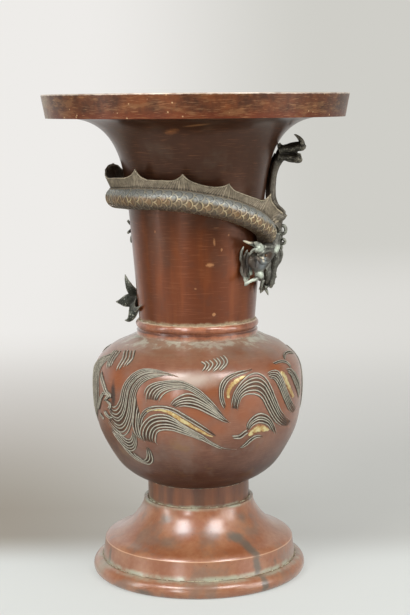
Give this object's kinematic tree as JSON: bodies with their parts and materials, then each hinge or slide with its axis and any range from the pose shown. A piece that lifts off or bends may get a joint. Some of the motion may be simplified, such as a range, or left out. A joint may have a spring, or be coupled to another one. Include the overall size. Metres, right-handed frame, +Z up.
{
  "type": "gu vase",
  "caption": "Tall metal vase with a wide flaring mouth, a round belly and a stepped foot, and a cast dragon coiled round its neck.",
  "frame": {"origin": "centre of the foot ring's underside, on the surface that the vase stands on", "axes": "+Z up along the vase's axis, -Y towards the viewer's side, where the dragon crosses the neck, +X to its right"},
  "size_m": [0.2836, 0.2836, 0.45],
  "materials": {
    "rim_bronze": "brown patina, worn at the edges, fine scratches",
    "neck_bronze": "smooth brown patina, darker upwards, soft gloss",
    "collar_bronze": "red-brown patina with verdigris in the seams",
    "belly_bronze": "red-brown patina with chased grey waves and gilt",
    "foot_bronze": "orange-brown patina with verdigris runs",
    "dragon_bronze": "grey-brown patina, scales rubbed to brass",
    "crest_bronze": "grey patina, finely ribbed, bright bead",
    "limb_bronze": "dark grey-green patina",
    "head_bronze": "grey patina with pale verdigris highlights",
    "gilt": "gilt bronze",
    "plain_bronze": "unpatinated bronze, dull"
  },
  "bodies": {
    "root": {"rim_band": "rim_bronze", "neck_trumpet": "neck_bronze", "neck_collar": "collar_bronze", "belly": "belly_bronze", "bottom_plate": "plain_bronze", "stem_ring": "foot_bronze", "foot": "foot_bronze", "foot_ring": "foot_bronze", "dragon_body": "dragon_bronze", "dragon_crest": "crest_bronze", "dragon_head": "head_bronze", "dragon_jaw": "head_bronze", "dragon_horns": "head_bronze", "dragon_eyes": "gilt", "dragon_whiskers": "head_bronze", "dragon_mane": "head_bronze", "dragon_beard": "head_bronze", "dragon_foreleg_raised": "limb_bronze", "dragon_foreleg_lower": "limb_bronze", "dragon_hindleg_left": "limb_bronze", "dragon_hindleg_right": "limb_bronze", "dragon_tail_tuft": "limb_bronze", "fixing_studs": "plain_bronze", "stud_washers": "plain_bronze"}
  },
  "joints": []
}
